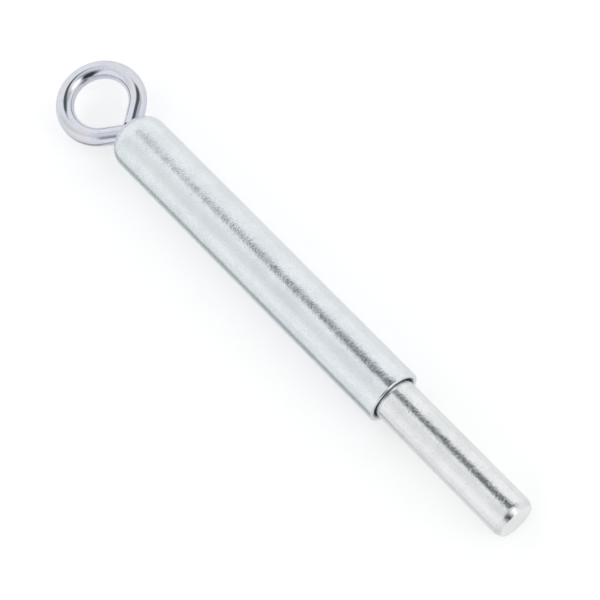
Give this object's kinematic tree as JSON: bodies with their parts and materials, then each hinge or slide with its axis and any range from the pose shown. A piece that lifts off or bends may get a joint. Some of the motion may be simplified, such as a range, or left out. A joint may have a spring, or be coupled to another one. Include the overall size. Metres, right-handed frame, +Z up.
{
  "type": "spring latch",
  "caption": "Tubular spring latch: a round plunger in a rolled-end tube, drawn back against a spring by a bent rod with a closed eye.",
  "frame": {"origin": "on the axis, in the plane of the housing's open mouth", "axes": "+X out along the plunger, +Z up with the eye flat in the XY plane and the housing lying on its side"},
  "size_m": [0.2803, 0.0398, 0.0254],
  "materials": {
    "zinc_tube": "satin clear zinc plating",
    "zinc_bar": "satin clear zinc plating",
    "bright_zinc_rod": "bright zinc plating",
    "spring_wire": "oiled spring wire"
  },
  "bodies": {
    "housing": {"housing": "zinc_tube"},
    "spring": {"return_spring": "spring_wire"},
    "plunger": {"plunger": "zinc_bar", "pull_ring": "bright_zinc_rod"}
  },
  "joints": [
    {"name": "plunger_turn", "type": "hinge", "parent": "housing", "child": "spring", "pos_m": [0, 0, 0], "axis": [1, 0, 0], "continuous": true},
    {"name": "plunger_pull", "type": "slide", "parent": "spring", "child": "plunger", "axis": [-1, 0, 0], "range_m": [0, 0.0725], "stiffness_N_per_m": 1360, "springref_m": -0.025, "deforming": ["return_spring"]}
  ]
}
